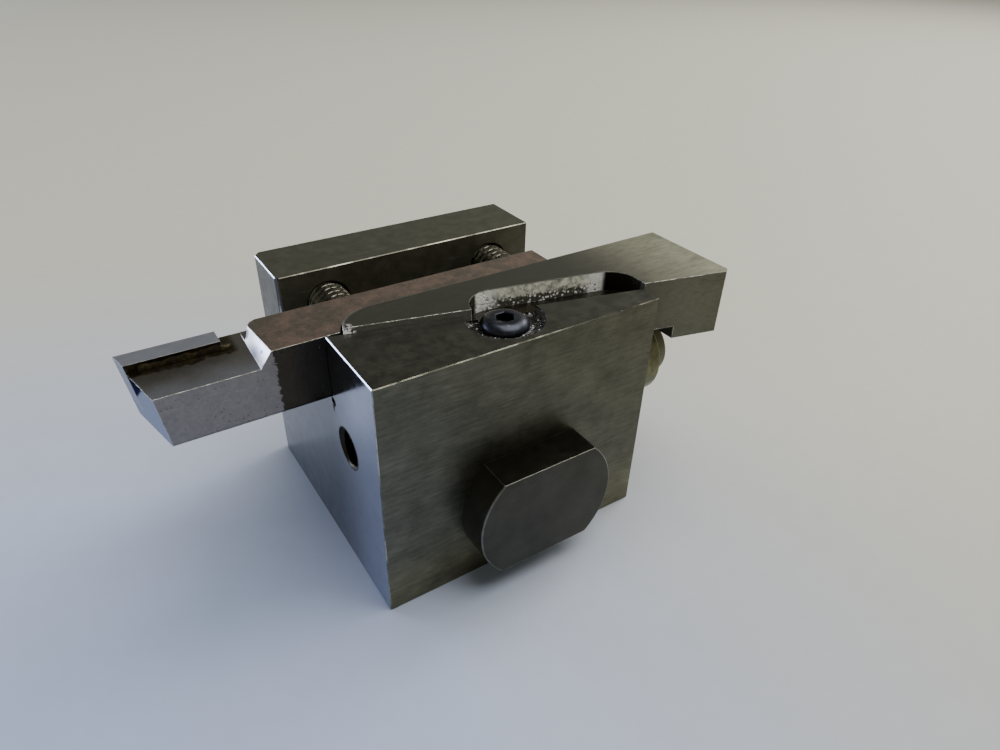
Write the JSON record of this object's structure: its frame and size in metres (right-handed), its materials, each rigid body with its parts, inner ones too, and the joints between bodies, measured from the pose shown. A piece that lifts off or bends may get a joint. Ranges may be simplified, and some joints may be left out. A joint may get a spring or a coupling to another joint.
{
  "type": "wedge-adjusted lathe tool post",
  "caption": "Small lathe tool post: a steel block with an open channel, a sliding wedge that sets tool height, clamp screws, a T-nut, and a brazed-carbide turning tool.",
  "frame": {"origin": "centre of the block's flat back, on which the post lies on a bench", "axes": "+X along the tool from the cutting end to the wedge's tail, +Y from the seating face (lathe side) to the clamp bar, +Z out of the open side of the channel"},
  "size_m": [0.0825, 0.0487, 0.0389],
  "materials": {
    "ground_steel": "ground and blackened, satin",
    "wedge_steel": "worn dark satin",
    "tool_steel": "brown oxide, ground head",
    "carbide": "ground matt grey",
    "braze": "heat-stained braze",
    "screw_steel": "black oxide, oiled",
    "collar_brass": "dull turned brass",
    "t_nut_steel": "dark satin oxide"
  },
  "bodies": {
    "post": {"tool_post_body": "ground_steel", "wedge_retaining_screw": "screw_steel", "clamp_washer": "ground_steel"},
    "collar": {"adjuster_collar": "collar_brass"},
    "adjuster": {"adjuster_screw": "screw_steel", "collar_clip": "screw_steel"},
    "wedge": {"height_wedge": "wedge_steel"},
    "tool": {"tool_shank": "tool_steel", "carbide_tip": "carbide", "braze_seam": "braze"},
    "left_clamp": {"clamp_screw_left": "screw_steel"},
    "right_clamp": {"clamp_screw_right": "screw_steel"},
    "bolt": {"clamp_bolt": "screw_steel"},
    "nut": {"t_nut": "t_nut_steel"}
  },
  "joints": [
    {"name": "collar_travel", "type": "slide", "parent": "post", "child": "collar", "axis": [-1, 0, 0], "range_m": [0, 0.008]},
    {"name": "adjuster_turn", "type": "hinge", "parent": "collar", "child": "adjuster", "pos_m": [0.026, -0.01188, 0.0228], "axis": [-1, 0, 0], "range_deg": [0, 2265]},
    {"name": "wedge_slide", "type": "slide", "parent": "post", "child": "wedge", "axis": [-0.9735, 0.2289, 0], "range_m": [0, 0.0082]},
    {"name": "tool_slide", "type": "slide", "parent": "wedge", "child": "tool", "axis": [-1, 0, 0], "range_m": [0, 0.012]},
    {"name": "left_clamp_travel", "type": "slide", "parent": "post", "child": "left_clamp", "axis": [0, 1, 0], "range_m": [0, 0.0019]},
    {"name": "right_clamp_travel", "type": "slide", "parent": "post", "child": "right_clamp", "axis": [0, 1, 0], "range_m": [0, 0.0019]},
    {"name": "clamp_bolt_turn", "type": "hinge", "parent": "post", "child": "bolt", "pos_m": [0.00072, 0.01295, 0.01225], "axis": [0, 1, 0], "range_deg": [0, 1150]},
    {"name": "t_nut_travel", "type": "slide", "parent": "post", "child": "nut", "axis": [0, -1, 0], "range_m": [0, 0.0045]}
  ],
  "couplings": [
    {"joint": "adjuster_turn", "follows": "wedge_slide", "rad_per_m": 4816.1},
    {"joint": "collar_travel", "follows": "wedge_slide", "ratio": 0.97346},
    {"joint": "left_clamp_travel", "follows": "wedge_slide", "ratio": 0.22886},
    {"joint": "right_clamp_travel", "follows": "wedge_slide", "ratio": 0.22886},
    {"joint": "clamp_bolt_turn", "follows": "t_nut_travel", "rad_per_m": 4452.6}
  ]
}
